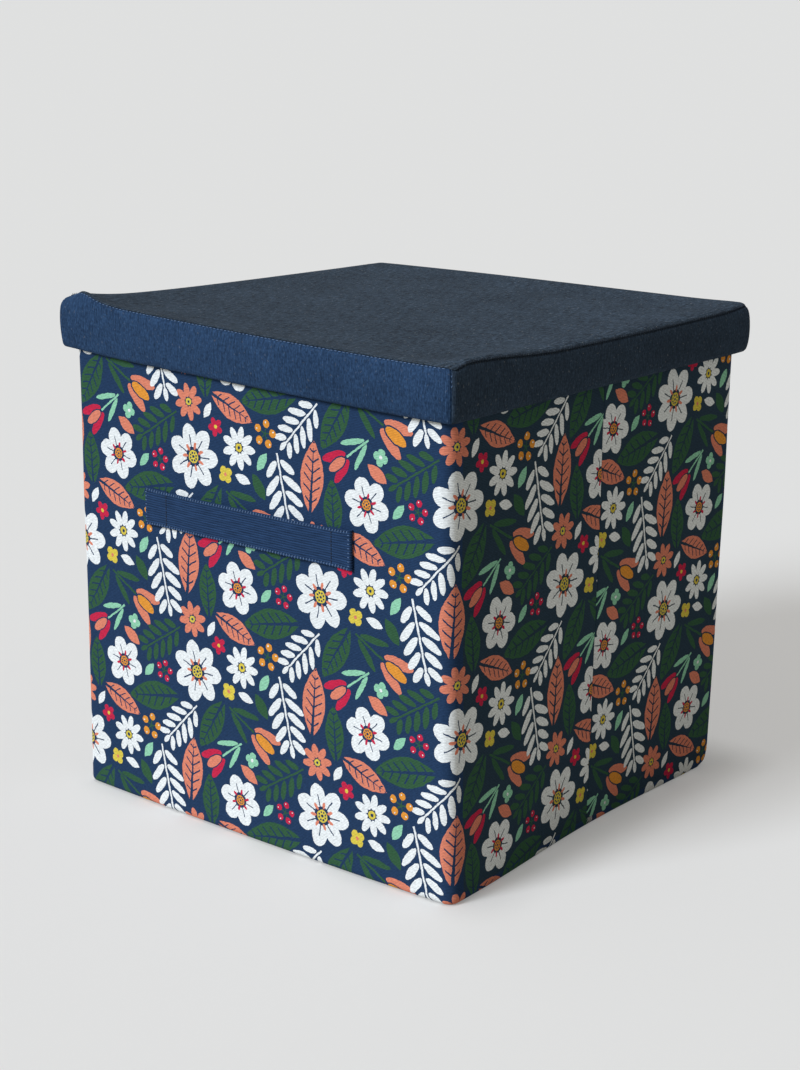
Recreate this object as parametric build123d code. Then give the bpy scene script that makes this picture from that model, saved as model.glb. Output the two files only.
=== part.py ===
from build123d import *
import os

# A lidded fabric storage bin, in millimetres. It stands on z = 0, centred on the origin.
# The handle face is the front, at -Y. The walls are card boards sewn between cover and lining cloth.

# Body, over the outer faces of the cloth walls
body_width = 305.0
body_depth = 299.0
body_height = 313.0

# Cloth and card of one wall, from the outside in
cover_cloth = 0.8
wall_board = 2.4
lining_cloth = 0.8
hem_depth = 20.0  # cover turned down inside the rim
hem_roll = 0.7  # rounding of the turned cloth at the rim
crease_setback = 2.0  # lining pocket back from the mid-side seam
seam_allowance = 2.6  # cover turned in at the mid-side seam

# Floor cloth, turned up round the foot of the walls
floor_cloth = 0.8
floor_hem = 5.7
floor_edge_radius = 3.0
wall_lift = 0.3  # foot of the walls above the turned-up hem

# Loose base board in its own cover
insert_board = 2.4
insert_cloth = 0.5
insert_lift = 0.3  # above the floor cloth
insert_gap = 0.5  # to the front wall, where it tips up
insert_back_gap = 9.5  # to the back wall, for a finger to lift it
insert_side_gap = 7.0  # to each side wall
insert_corner = 2.0
fold_clearance = 3.1  # between the raised insert and a folded side

# Webbing handles, sewn down at both ends
handle_length = 170.0
handle_width = 22.4
handle_webbing = 1.6
handle_height = 202.3  # middle of the strap above the floor
handle_tab = 20.0  # webbing folded under and sewn
handle_rise = 24.0  # length over which the strap lifts off the wall
handle_gap = 5.2  # finger gap behind the strap
handle_fold_round = 1.4

# Drop-over lid
lid_slack = 2.3  # between the walls and the rim
lid_rest_gap = 0.4  # between the top of the walls and the lid lining
lid_cloth = 0.8
lid_board = 3.0
lid_lining = 0.8
lid_edge_radius = 3.0
rim_depth = 31.0  # from the lid's top down to the rim's foot
rim_board = 2.0
rim_inner_radius = 1.5

# Values that follow from those above
wall_thickness = cover_cloth + wall_board + lining_cloth
wall_foot = floor_hem + wall_lift
insert_thickness = insert_board + 2 * insert_cloth
insert_foot = floor_cloth + insert_lift
fold_room = insert_gap + insert_thickness + fold_clearance
corner_radius = wall_thickness + fold_room / 2
corner_x = body_width / 2 - corner_radius
corner_y = body_depth / 2 - corner_radius
corner_cloth = cover_cloth + lining_cloth
rim_thickness = rim_board + 2 * lid_cloth
lid_width = body_width + 2 * (lid_slack + rim_thickness)
lid_depth = body_depth + 2 * (lid_slack + rim_thickness)
lid_radius = rim_thickness + rim_inner_radius
lid_under = body_height + lid_rest_gap
lid_top = lid_under + lid_lining + lid_board + lid_cloth
rim_top = lid_under + lid_lining
rim_foot = lid_top - rim_depth

# Each wall: where its outer face starts, its heading, its length and which end is a crease
walls = {
    "front": ((-corner_x, -body_depth / 2), 0, 2 * corner_x, None),
    "right_front": ((body_width / 2, -corner_y), 90, corner_y, "end"),
    "right_rear": ((body_width / 2, 0), 90, corner_y, "start"),
    "back": ((corner_x, body_depth / 2), 180, 2 * corner_x, None),
    "left_rear": ((-body_width / 2, corner_y), 270, corner_y, "end"),
    "left_front": ((-body_width / 2, 0), 270, corner_y, "start"),
}


def wall_place(name):
    """Frame of a wall: x along its outer face, y inwards, z up."""
    (x, y), heading, length, crease = walls[name]
    return Location((x, y, 0), (0, 0, heading))


def block(low, high):
    """Box between two corners."""
    size = Vector(*high) - Vector(*low)
    return Pos(*low) * Box(size.X, size.Y, size.Z, align=(Align.MIN, Align.MIN, Align.MIN))


def plan_slab(width, depth, radius, low, high):
    """Round-cornered slab between two heights, centred on the origin."""
    return Pos(0, 0, low) * extrude(RectangleRounded(width, depth, radius), high - low)


def wall_cover(length, crease):
    """Outer cloth, turned over the rim, with a seam allowance turned in at a crease."""
    inner = wall_thickness + cover_cloth
    under = body_height - cover_cloth
    hem_foot = body_height - hem_depth
    profile = Polyline(
        (0, wall_foot),
        (0, body_height),
        (inner, body_height),
        (inner, hem_foot),
        (wall_thickness, hem_foot),
        (wall_thickness, under),
        (cover_cloth, under),
        (cover_cloth, wall_foot),
        close=True,
    )
    cover = extrude(Plane.YZ * make_face(profile), length)
    rim_edges = cover.edges().filter_by(Axis.X).group_by(Axis.Z)[-1]
    cover = fillet(rim_edges, hem_roll)
    if crease is None:
        return cover
    start = 0 if crease == "start" else length - cover_cloth
    turned_in = block(
        (start, cover_cloth, wall_foot),
        (start + cover_cloth, cover_cloth + seam_allowance, under),
    )
    return cover + turned_in


def pocket_ends(length, crease):
    """Both ends of the lining pocket, set back from a crease."""
    start = crease_setback if crease == "start" else 0
    end = length - crease_setback if crease == "end" else length
    return start, end


def wall_card(length, crease):
    """Card board that fills the lining pocket."""
    start, end = pocket_ends(length, crease)
    return block(
        (start + lining_cloth, cover_cloth, wall_foot + lining_cloth),
        (end - lining_cloth, cover_cloth + wall_board, body_height - cover_cloth),
    )


def wall_lining(length, crease):
    """Inner cloth, a pocket that holds the card at its ends and foot."""
    start, end = pocket_ends(length, crease)
    whole = block(
        (start, cover_cloth, wall_foot),
        (end, wall_thickness, body_height - cover_cloth),
    )
    return whole - wall_card(length, crease)


def corner_shell(x_side, y_side):
    """Quarter-round cloth corner about its fold line."""
    ring = Circle(corner_radius) - Circle(corner_radius - corner_cloth)
    quarter = Pos(corner_radius / 2, corner_radius / 2) * Rectangle(corner_radius, corner_radius)
    turn = {(1, 1): 0, (-1, 1): 90, (-1, -1): 180, (1, -1): 270}[(x_side, y_side)]
    shell = extrude(ring & quarter, body_height - wall_foot)
    return Location((x_side * corner_x, y_side * corner_y, wall_foot), (0, 0, turn)) * shell


def floor_tray():
    """Floor cloth with its edge turned up outside."""
    inset = 2 * floor_cloth
    outer = plan_slab(body_width, body_depth, corner_radius, 0, floor_hem)
    outer = fillet(outer.faces().sort_by(Axis.Z)[0].edges(), floor_edge_radius)
    inner_radius = corner_radius - floor_cloth
    hollow = plan_slab(body_width - inset, body_depth - inset, inner_radius, floor_cloth, floor_hem)
    hollow = fillet(hollow.faces().sort_by(Axis.Z)[0].edges(), floor_edge_radius - floor_cloth)
    return outer - hollow


def insert_pieces():
    """Loose base board and the cloth sleeve sewn round it."""
    width = body_width - 2 * (wall_thickness + insert_side_gap)
    depth = body_depth - 2 * wall_thickness - insert_gap - insert_back_gap
    place = Pos(0, (insert_gap - insert_back_gap) / 2, 0)
    low = insert_foot
    sleeve = plan_slab(width, depth, insert_corner, low, low + insert_thickness)
    board = plan_slab(
        width - 2 * insert_cloth,
        depth - 2 * insert_cloth,
        insert_corner - insert_cloth,
        low + insert_cloth,
        low + insert_cloth + insert_board,
    )
    return {"insert_cover": place * (sleeve - board), "insert_board": place * board}


def strap_rise(side, tab_y, bow_y):
    """Two arcs that lift the strap off the wall on one side of its middle."""
    foot = handle_length / 2 - handle_tab
    top = foot - handle_rise
    middle = (side * (foot + top) / 2, (tab_y + bow_y) / 2)
    leave = TangentArc((side * foot, tab_y), middle, tangent=(-side, 0))
    arrive = TangentArc((side * top, bow_y), middle, tangent=(side, 0))
    return [leave, arrive]


def handle(wall):
    """Webbing strap bowed off a wall, with both ends folded under."""
    half = handle_length / 2
    foot = half - handle_tab
    top = foot - handle_rise
    tab_y = -1.5 * handle_webbing
    bow_y = -(handle_gap + handle_webbing / 2)
    path = [Line((side * half, tab_y), (side * foot, tab_y)) for side in (-1, 1)]
    path += strap_rise(-1, tab_y, bow_y) + strap_rise(1, tab_y, bow_y)
    path.append(Line((-top, bow_y), (top, bow_y)))
    section = Plane((-half, tab_y, 0), x_dir=(0, 1, 0), z_dir=(1, 0, 0))
    strap = sweep(section * Rectangle(handle_webbing, handle_width), path=Wire(path))
    for side in (-1, 1):
        tab_middle = (side * (half + foot) / 2, -handle_webbing / 2, 0)
        strap += Pos(*tab_middle) * Box(handle_tab, handle_webbing, handle_width)
    ends = strap.edges().filter_by(Axis.Z).group_by(Axis.X)
    strap = fillet(ends[0] + ends[-1], handle_fold_round)
    return wall_place(wall) * Pos(walls[wall][2] / 2, 0, handle_height) * strap


def lid_slab(inset, low, high):
    """Slab with the lid's outline, drawn in by an inset."""
    return plan_slab(lid_width - 2 * inset, lid_depth - 2 * inset, lid_radius - inset, low, high)


def lid_panel():
    """Top cloth rolled over the edge of the lid board, the board, and the lining below it."""
    cap = lid_slab(0, rim_top, lid_top)
    cap = fillet(cap.faces().sort_by(Axis.Z)[-1].edges(), lid_edge_radius)
    board = lid_slab(lid_cloth, rim_top, lid_top - lid_cloth)
    board = fillet(board.faces().sort_by(Axis.Z)[-1].edges(), lid_edge_radius - lid_cloth)
    lining = lid_slab(rim_thickness, lid_under, rim_top)
    return {"lid_top_cloth": cap - board, "lid_board": board, "lid_lining": lining}


def rim_wedge(side):
    """Mitred block that cuts one side out of the rim."""
    reach = 2 * rim_thickness
    near_x, near_y = lid_width / 2, lid_depth / 2
    far_x, far_y = near_x - reach, near_y - reach
    outlines = {
        "front": [(-near_x, -near_y), (near_x, -near_y), (far_x, -far_y), (-far_x, -far_y)],
        "right": [(near_x, -near_y), (near_x, near_y), (far_x, far_y), (far_x, -far_y)],
        "back": [(near_x, near_y), (-near_x, near_y), (-far_x, far_y), (far_x, far_y)],
        "left": [(-near_x, near_y), (-near_x, -near_y), (-far_x, -far_y), (-far_x, far_y)],
    }
    outline = make_face(Polyline(*outlines[side], close=True))
    return Pos(0, 0, rim_foot) * extrude(outline, rim_top - rim_foot)


def rim_pieces():
    """Rim of four mitred sides: card strips in cloth folded up round their foot."""
    card_foot = rim_foot + lid_cloth
    whole = lid_slab(0, rim_foot, rim_top) - lid_slab(rim_thickness, rim_foot, rim_top)
    card = lid_slab(lid_cloth, card_foot, rim_top)
    card -= lid_slab(rim_thickness - lid_cloth, card_foot, rim_top)
    cloth = whole - card
    pieces = {}
    for side in ("front", "right", "back", "left"):
        wedge = rim_wedge(side)
        pieces["rim_cloth_" + side] = cloth & wedge
        pieces["rim_board_" + side] = card & wedge
    return pieces


def bin_pieces():
    """Every piece of the bin by name."""
    pieces = {"floor_cloth": floor_tray()}
    for name, (start, heading, length, crease) in walls.items():
        place = wall_place(name)
        pieces["cover_" + name] = place * wall_cover(length, crease)
        pieces["board_" + name] = place * wall_card(length, crease)
        pieces["lining_" + name] = place * wall_lining(length, crease)
    for x_side, x_name in ((-1, "left"), (1, "right")):
        for y_side, y_name in ((-1, "front"), (1, "back")):
            pieces["corner_" + y_name + "_" + x_name] = corner_shell(x_side, y_side)
    for wall in ("front", "back"):
        pieces["handle_" + wall] = handle(wall)
    pieces.update(insert_pieces())
    pieces.update(lid_panel())
    pieces.update(rim_pieces())
    return pieces


os.makedirs("parts", exist_ok=True)
for piece_name, piece in bin_pieces().items():
    export_step(piece, "parts/" + piece_name + ".step")
print("fold lines at x", corner_x, "y", corner_y, "lid top", lid_top, "rim foot", rim_foot)
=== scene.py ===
import math

import bmesh
import bpy
from mathutils import Matrix, Vector, noise


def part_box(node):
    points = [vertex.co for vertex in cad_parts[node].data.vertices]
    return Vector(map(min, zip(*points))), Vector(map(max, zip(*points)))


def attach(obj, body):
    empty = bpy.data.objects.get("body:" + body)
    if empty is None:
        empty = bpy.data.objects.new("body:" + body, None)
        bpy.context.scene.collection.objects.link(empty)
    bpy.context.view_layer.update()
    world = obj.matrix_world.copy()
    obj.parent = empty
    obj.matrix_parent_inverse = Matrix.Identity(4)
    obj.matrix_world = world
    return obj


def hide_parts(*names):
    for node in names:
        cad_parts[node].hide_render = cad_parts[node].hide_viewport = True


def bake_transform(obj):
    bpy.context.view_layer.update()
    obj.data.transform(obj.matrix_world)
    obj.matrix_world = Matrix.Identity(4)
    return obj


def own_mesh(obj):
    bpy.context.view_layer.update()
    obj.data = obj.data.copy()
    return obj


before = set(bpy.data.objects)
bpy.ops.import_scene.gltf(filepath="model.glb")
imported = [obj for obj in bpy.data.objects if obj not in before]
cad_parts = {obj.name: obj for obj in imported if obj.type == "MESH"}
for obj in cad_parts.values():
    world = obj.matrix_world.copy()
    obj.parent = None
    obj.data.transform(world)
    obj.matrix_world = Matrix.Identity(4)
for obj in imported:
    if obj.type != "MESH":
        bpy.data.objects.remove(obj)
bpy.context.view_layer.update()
scene = bpy.context.scene
mm = 0.001
fullTurn, quarterTurn = 2 * math.pi, math.pi / 2

# sizes of the bin, read from its solids
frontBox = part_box("cover_front")
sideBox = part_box("cover_right_front")
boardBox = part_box("board_front")
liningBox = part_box("lining_right_front")
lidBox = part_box("lid_top_cloth")
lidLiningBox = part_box("lid_lining")
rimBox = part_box("rim_cloth_front")
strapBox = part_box("handle_front")
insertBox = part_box("insert_cover")

cornerX, halfDepth = frontBox[1][0], -frontBox[0][1]
halfWidth, cornerY = sideBox[1][0], -sideBox[0][1]
wallFoot, wallTop = frontBox[0][2], frontBox[1][2]
cornerRadius = halfWidth - cornerX
hemInner = frontBox[1][1] - frontBox[0][1]  # outer face to the inside of the turned hem
coverThick = boardBox[0][1] - frontBox[0][1]
boardInner = boardBox[1][1] - frontBox[0][1]
wallThick = halfWidth - liningBox[0][0]
creaseSetback = sideBox[1][1] - liningBox[1][1]
print("frame read, body", halfWidth * 2, halfDepth * 2, wallTop)

# each wall: start of its outer face, heading, length, which end is a crease, its body
walls = {
    "front": ((-cornerX, -halfDepth), 0, 2 * cornerX, None, "front_wall"),
    "right_front": ((halfWidth, -cornerY), 90, cornerY, "end", "right_front_wall"),
    "right_rear": ((halfWidth, 0), 90, cornerY, "start", "right_rear_wall"),
    "back": ((cornerX, halfDepth), 180, 2 * cornerX, None, "back_wall"),
    "left_rear": ((-halfWidth, cornerY), 270, cornerY, "end", "left_rear_wall"),
    "left_front": ((-halfWidth, 0), 270, cornerY, "start", "left_front_wall"),
}


def clamp(value, low=0.0, high=1.0):
    return max(low, min(high, value))


def softStep(value):
    t = clamp(value)
    return t * t * (3 - 2 * t)


def runStations(start, end, count):
    return [start + (end - start) * i / count for i in range(count + 1)]


def runLengths(path):
    run = [0.0]
    for near, far in zip(path, path[1:]):
        run.append(run[-1] + math.dist(near, far))
    return run


def arcSteps(radius, turn, count):
    steps = runStations(0, turn, count)[1:]
    return [(radius * math.sin(a), radius * (1 - math.cos(a)), radius * a) for a in steps]


def wallPoint(name, along, depth, z):
    (x, y), heading = walls[name][0], math.radians(walls[name][1])
    c, s = math.cos(heading), math.sin(heading)
    return Vector((x + c * along - s * depth, y + s * along + c * depth, z))


def wallDirection(name, along, depth):
    return wallPoint(name, along, depth, 0) - wallPoint(name, 0, 0, 0)


# shader sums: a wire is an output of a node, and a sum of wires adds nodes to its tree
def sumMethod(operation, swapped=False):
    def method(self, *others):
        return calc(operation, *others, self) if swapped else calc(operation, self, *others)
    return method


class Wire:
    __add__, __sub__, __rsub__ = sumMethod("ADD"), sumMethod("SUBTRACT"), sumMethod("SUBTRACT", True)
    __mul__, __or__, __abs__ = sumMethod("MULTIPLY"), sumMethod("MAXIMUM"), sumMethod("ABSOLUTE")
    __truediv__, __rtruediv__ = sumMethod("DIVIDE"), sumMethod("DIVIDE", True)
    __mod__, __pow__ = sumMethod("FLOORED_MODULO"), sumMethod("POWER")
    __lt__, __gt__ = sumMethod("LESS_THAN"), sumMethod("GREATER_THAN")
    cos, sin = sumMethod("COSINE"), sumMethod("SINE")
    floor, nearest = sumMethod("FLOOR"), sumMethod("ROUND")
    fit = sumMethod("MULTIPLY_ADD")  # times the first value, plus the second

    def __init__(self, socket):
        self.socket, self.tree = socket, socket.id_data


def feed(socket, value):
    if isinstance(value, Wire):
        socket.id_data.links.new(value.socket, socket)
    else:
        socket.default_value = value


def feedAll(sockets, values):
    for key, value in values.items():
        feed(sockets[key], value)


def addNode(tree, kind, inputs, **options):
    node = tree.nodes.new("ShaderNode" + kind)
    for option, value in options.items():
        setattr(node, option, value)
    feedAll(node.inputs, inputs)
    return [Wire(socket) for socket in node.outputs]


def treeOf(*values):
    return next(value.tree for value in values if isinstance(value, Wire))


def calc(operation, *values):
    return addNode(treeOf(*values), "Math", dict(enumerate(values)), operation=operation)[0]


def limited(value):
    return calc("MINIMUM", calc("MAXIMUM", value, 0.0), 1.0)


def mixColour(factor, under, over, blend="MIX"):
    inputs = {0: factor, 6: under, 7: over}
    return addNode(treeOf(factor, under, over), "Mix", inputs, data_type="RGBA", blend_type=blend)[2]


def shadeColour(colour, shade):
    grey = addNode(shade.tree, "CombineColor", {0: shade, 1: shade, 2: shade})[0]
    return mixColour(1.0, colour, grey, "MULTIPLY")


def mixShader(factor, first, second):
    return addNode(first.tree, "MixShader", {0: factor, 1: first, 2: second})[0]


def newGroup(name, inputs, outputs):
    group = bpy.data.node_groups.new(name, "ShaderNodeTree")
    for way, sockets in (("INPUT", inputs), ("OUTPUT", outputs)):
        for label, kind in sockets.items():
            group.interface.new_socket(label, in_out=way, socket_type="NodeSocket" + kind)
    given = {socket.name: Wire(socket) for socket in group.nodes.new("NodeGroupInput").outputs}
    return group, given, group.nodes.new("NodeGroupOutput").inputs


def splitCloth(cloth):
    return addNode(cloth.tree, "SeparateXYZ", {0: cloth})[:2]


def clothNoise(cloth, scale, detail=2.0, roughness=0.5):
    inputs = {"Vector": cloth, "Scale": scale, "Detail": detail, "Roughness": roughness}
    return addNode(cloth.tree, "TexNoise", inputs, noise_dimensions="2D")


def stretchedNoise(u, v, across, along, detail=2.0):
    return clothNoise(addNode(u.tree, "CombineXYZ", {0: u * across, 1: v * along})[0], 1.0, detail)[0]


def solidNoise(tree, scale, detail):
    place = Wire(tree.nodes.new("ShaderNodeTexCoord").outputs["Object"])
    return addNode(tree, "TexNoise", {"Vector": place, "Scale": scale, "Detail": detail})[0]


def evenly(pattern, strength):
    return pattern.fit(2 * strength, 1 - strength)


def ink(red, green, blue):
    def linear(c):
        c /= 255
        return c / 12.92 if c <= 0.04045 else ((c + 0.055) / 1.055) ** 2.4
    return linear(red), linear(green), linear(blue), 1


# ribbed weave: ribs run along U, threads cross them
weavePlan = {"rib": 0.45, "thread": 0.4, "slub": 0.3, "slubScale": (130, 900), "shade": (0.5, 0.73)}


def makeWeaveGroup():
    inputs = {"Cloth": "Vector", "Rib": "Float", "Thread": "Float"}
    group, given, result = newGroup("rib weave", inputs, {"Height": "Float", "Shade": "Float"})
    u, v = splitCloth(given["Cloth"])
    ribPhase = v / given["Rib"]
    ribs = (ribPhase * fullTurn).cos().fit(0.5, 0.5)
    threadPhase = (ribPhase + 0.5).floor().fit(0.5, u / given["Thread"])
    threads = (threadPhase * fullTurn).cos().fit(0.5, 0.5)
    height = (ribs * threads).fit(weavePlan["thread"], ribs * weavePlan["rib"])
    height = stretchedNoise(u, v, *weavePlan["slubScale"]).fit(weavePlan["slub"], height)
    feedAll(result, {"Height": height, "Shade": height.fit(*weavePlan["shade"])})
    return group


# print: a repeat of garden motifs set in a half-drop, each with a slightly hand-cut edge
printPlan = {
    "width": 103 * mm, "height": 138 * mm,
    "cutEdge": ((170, 0.45 * mm), (640, 0.25 * mm)),  # scale and reach of its wander and of its nibbles
    "rib": 0.95 * mm, "thread": 0.8 * mm, "roughness": 0.9, "bump": (0.55, 0.25 * mm),
    "wearNoise": (18, 3.0), "wear": (0.12, 0.96), "grainNoise": (480, 1050), "grain": 0.3,  # uneven ink
}
inks = {
    "navy": ink(36, 59, 92),
    # the side walls' ground: a duller, less blue copy of the navy, painted shade
    "paintedShadeNavy": ink(41, 59, 75),
    "white": ink(236, 241, 245),
    "coral": ink(222, 134, 110),
    "green": ink(52, 90, 64),
    "mint": ink(146, 207, 176),
    "yellow": ink(220, 200, 80),
    "orange": ink(228, 152, 61),
    "crimson": ink(198, 42, 76),
}
# each motif: half size and place in the repeat in mm, turn, petal count, inks
motifPlan = {
    "anemone": [
        (20.5, 56.4, 31.8, 2.73, 7, "white coral yellow"),
        (16.5, 92.1, 93.0, -0.20, 6, "white crimson orange"),
    ],
    "daisy": [
        (13.5, 94.8, 42.8, -0.73, 9, "white navy yellow"),
        (11.5, 52.8, 65.4, 1.01, 8, "coral navy yellow"),
    ],
    "tulip": [
        (23.5, 0.4, 72.4, -2.09, 0, "coral orange green"),
        (20.0, 77.9, 119.3, 2.21, 0, "crimson coral mint"),
    ],
    "veined leaf": [
        (22.5, 50.5, 102.5, -0.08, 0, "coral"),
        (24.0, 17.1, 7.0, 1.77, 0, "green"),
        (21.0, 68.6, 0.2, 2.59, 0, "green"),
        (18.5, 88.9, 66.6, -1.96, 0, "coral"),
        (18.0, 66.6, 86.4, 0.06, 0, "green"),
    ],
    "sprig": [
        (25.5, 28.4, 88.2, -2.92, 5, "white"),
        (21.5, 40.4, 131.3, 2.38, 5, "white"),
        (21.5, 23.7, 46.7, 2.13, 5, "green"),
    ],
    "berries": [
        (9.0, 13.4, 123.4, 2.65, 5, "orange white green"),
        (7.5, 26.6, 25.9, 2.63, 5, "crimson white green"),
    ],
    "floret": [
        (5.8, 83.5, 24.8, -2.52, 4, "yellow coral"),
        (6.2, 75.5, 53.0, -1.71, 5, "crimson yellow"),
        (5.5, 102.5, 122.1, 2.87, 4, "mint white"),
    ],
    "seed": [
        (8.5, 99.9, 112.2, -2.15, 0, "coral"),
        (9.0, 7.9, 90.3, 0.60, 0, "green"),
        (7.0, 10.5, 106.0, -0.58, 0, "mint"),
        (6.2, 12.7, 23.6, -0.73, 0, "mint"),
        (6.6, 97.8, 24.0, -1.86, 0, "white"),
        (6.0, 69.0, 62.3, -0.54, 0, "white"),
    ],
}
placeLabels = ("X", "Y", "Turn", "Size")
inkLabels = ("First", "Second", "Third")


def makePlaceGroup():
    inputs = {"Cloth": "Vector", **dict.fromkeys(placeLabels, "Float")}
    group, given, result = newGroup("motif place", inputs, {"X": "Float", "Y": "Float"})
    width, height = printPlan["width"], printPlan["height"]
    u, v = splitCloth(given["Cloth"])
    across, up = u - given["X"], v - given["Y"]
    column = (across / width).nearest()
    across = column.fit(-width, across)
    up = column.fit(-height / 2, up)
    up = (up / height).nearest().fit(-height, up)
    c, s = given["Turn"].cos(), given["Turn"].sin()
    feed(result["X"], c.fit(across, s * up) / given["Size"])
    feed(result["Y"], (c * up - s * across) / given["Size"])
    return group


# the motifs' masks, each in a square from -1 to 1
def oval(x, y, centre, radii, tilt=0.0):
    dx, dy = x - centre[0], y - centre[1]
    if tilt:
        c, s = math.cos(tilt), math.sin(tilt)
        dx, dy = dx.fit(c, dy * s), dy.fit(c, dx * -s)
    a, b = dx / radii[0], dy / radii[1]
    return a.fit(a, b * b) < 1.0


def petalFold(x, y, count, between=False):
    radius = calc("SQRT", x.fit(x, y * y))
    share = fullTurn / count
    half = share * 0.5
    angle = calc("ARCTAN2", y, x)
    if not between:
        angle = angle + half
    angle = angle % share - half
    return radius * angle.cos(), radius * angle.sin(), radius


def petal(px, py, count, middle, length, width):
    return oval(px, py, (middle, 0), (length, calc("TANGENT", math.pi / count) * width))


def drawAnemone(x, y, count):
    px, py, radius = petalFold(x, y, count)
    slit = (abs(py) < 0.02) * (px < 0.66)
    petals = petal(px, py, count, 0.62, 0.38, 0.588) * (1 - slit) * (radius > 0.3)
    qx, qy, radius = petalFold(x, y, count, between=True)
    drops = oval(qx, qy, (0.34, 0), (0.11, 0.05))
    dx, dy, radius = petalFold(x, y, 8)
    dots = oval(dx, dy, (0.125, 0), (0.032, 0.032)) | (radius < 0.045)
    return [(petals, "First"), (drops, "Second"), (radius < 0.2, "Third"), (dots, "navy")]


def drawDaisy(x, y, count):
    px, py, radius = petalFold(x, y, count)
    petals = petal(px, py, count, 0.62, 0.38, 0.515)
    return [(petals, "First"), (radius < 0.2, "Third"), (radius < 0.08, "navy")]


def drawTulip(x, y, count):
    ax = abs(x)
    side = oval(ax, y, (0.25, 0.46), (0.15, 0.46), -0.32) * (y > 0.02)
    side = side * (1 - oval(x, y, (0, 0.5), (0.19, 0.41)))
    stem = (ax < 0.032) * (y < 0.05) * (y > -0.98)
    leaves = stem | oval(ax, y, (0.25, -0.42), (0.09, 0.46), -0.42)
    heart = oval(x, y, (0, 0.5), (0.15, 0.36))
    return [(leaves, "Third"), (side, "First"), (heart, "Second")]


def drawVeinedLeaf(x, y, count):
    ax, pitch = abs(x), 0.27
    reach = (abs(y) ** 1.9).fit(-0.4, 0.4)
    rib = (ax < y.fit(-0.028, 0.031)) * (y < 0.8)
    slant = ax.fit(-0.75, y) % pitch
    vein = (abs(slant - pitch / 2) < 0.026) * (ax < reach * 0.74)
    return [((ax < reach) * (1 - (rib | vein)), "First")]


def drawSprig(x, y, count):
    ax = abs(x)
    pitch = 1.75 / count
    slant = ax.fit(-0.7, y + 1.0)
    pair = (slant / pitch).floor()
    offset = slant - (pair + 0.5) * pitch
    share = pair / count
    length = (share * share).fit(-0.13, 0.26) * (pair < 0.5).fit(-0.25, 1.0)  # half a leaflet
    leaflets = oval(ax - 0.06 - length, offset, (0, 0), (length, pitch * 0.36))
    leaflets = leaflets * (pair > -0.5) * (pair < count - 0.5)
    stem = (ax < 0.028) * (y > -1.0) * (y < 0.8)
    tip = oval(x, y, (0, 0.84), (0.075, 0.16))
    return [(leaflets | stem | tip, "First")]


def drawBerries(x, y, count):
    px, py, radius = petalFold(x, y, count)
    twig = (abs(py) < 0.045) * (px < 0.6)
    berry = oval(px, py, (0.7, 0), (0.28, 0.28))
    glint = oval(px, py, (0.78, 0.09), (0.07, 0.05))
    return [(twig, "Third"), (berry, "First"), (glint, "Second")]


def drawFloret(x, y, count):
    px, py, radius = petalFold(x, y, count)
    return [(petal(px, py, count, 0.56, 0.42, 0.448), "First"), (radius < 0.2, "Second")]


def drawSeed(x, y, count):
    return [(abs(x) < (y * y).fit(-0.45, 0.45), "First")]


motifDrawings = {
    "anemone": drawAnemone, "daisy": drawDaisy, "tulip": drawTulip, "veined leaf": drawVeinedLeaf,
    "sprig": drawSprig, "berries": drawBerries, "floret": drawFloret, "seed": drawSeed,
}


def makeMotifs():
    placeGroup = makePlaceGroup()
    inputs = {"Under": "Color", "Cloth": "Vector", "Count": "Float"}
    inputs.update(dict.fromkeys(placeLabels, "Float"))
    inputs.update(dict.fromkeys(inkLabels, "Color"))
    groups = {}
    for name, draw in motifDrawings.items():
        group, given, result = newGroup("motif " + name, inputs, {"Colour": "Color"})
        values = {label: given[label] for label in ("Cloth", *placeLabels)}
        x, y = addNode(group, "Group", values, node_tree=placeGroup)
        colour = given["Under"]
        for mask, label in draw(x, y, given["Count"]):
            colour = mixColour(mask, colour, inks["navy"] if label == "navy" else given[label])
        feed(result["Colour"], colour)
        groups[name] = group
    return groups


def wander(cloth, scale, reach):
    drift = clothNoise(cloth, scale, 1.0)[1]
    inputs = {0: drift, 1: (2 * reach, 2 * reach, 0), 2: (-reach, -reach, 0)}
    drift = addNode(cloth.tree, "VectorMath", inputs, operation="MULTIPLY_ADD")[0]
    return addNode(cloth.tree, "VectorMath", {0: cloth, 1: drift})[0]


# materials, all dull cloth or card
dull = {"Specular IOR Level": 0.08, "Sheen Roughness": 0.6}


def newMaterial(name, roughness, sheen=0.0):
    material = bpy.data.materials.new(name)
    material.use_nodes = True
    tree = material.node_tree
    inputs = tree.nodes["Principled BSDF"].inputs
    feedAll(inputs, {"Roughness": roughness, "Sheen Weight": sheen, **dull})
    return material, tree


def newCloth(name, roughness, sheen=0.0):
    material, tree = newMaterial(name, roughness, sheen)
    cloth = addNode(tree, "UVMap", {}, uv_map="cloth")[0]
    return material, cloth, *splitCloth(cloth)


def finishMaterial(material, colour, height=None, strength=0.0, depth=0.0):
    inputs = material.node_tree.nodes["Principled BSDF"].inputs
    feed(inputs["Base Color"], colour)
    if height:
        bump = {"Strength": strength, "Distance": depth, "Height": height}
        feed(inputs["Normal"], addNode(material.node_tree, "Bump", bump)[0])
    return material


def useWeave(cloth, rib, thread):
    return addNode(cloth.tree, "Group", {"Cloth": cloth, "Rib": rib, "Thread": thread}, node_tree=weaveGroup)


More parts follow.
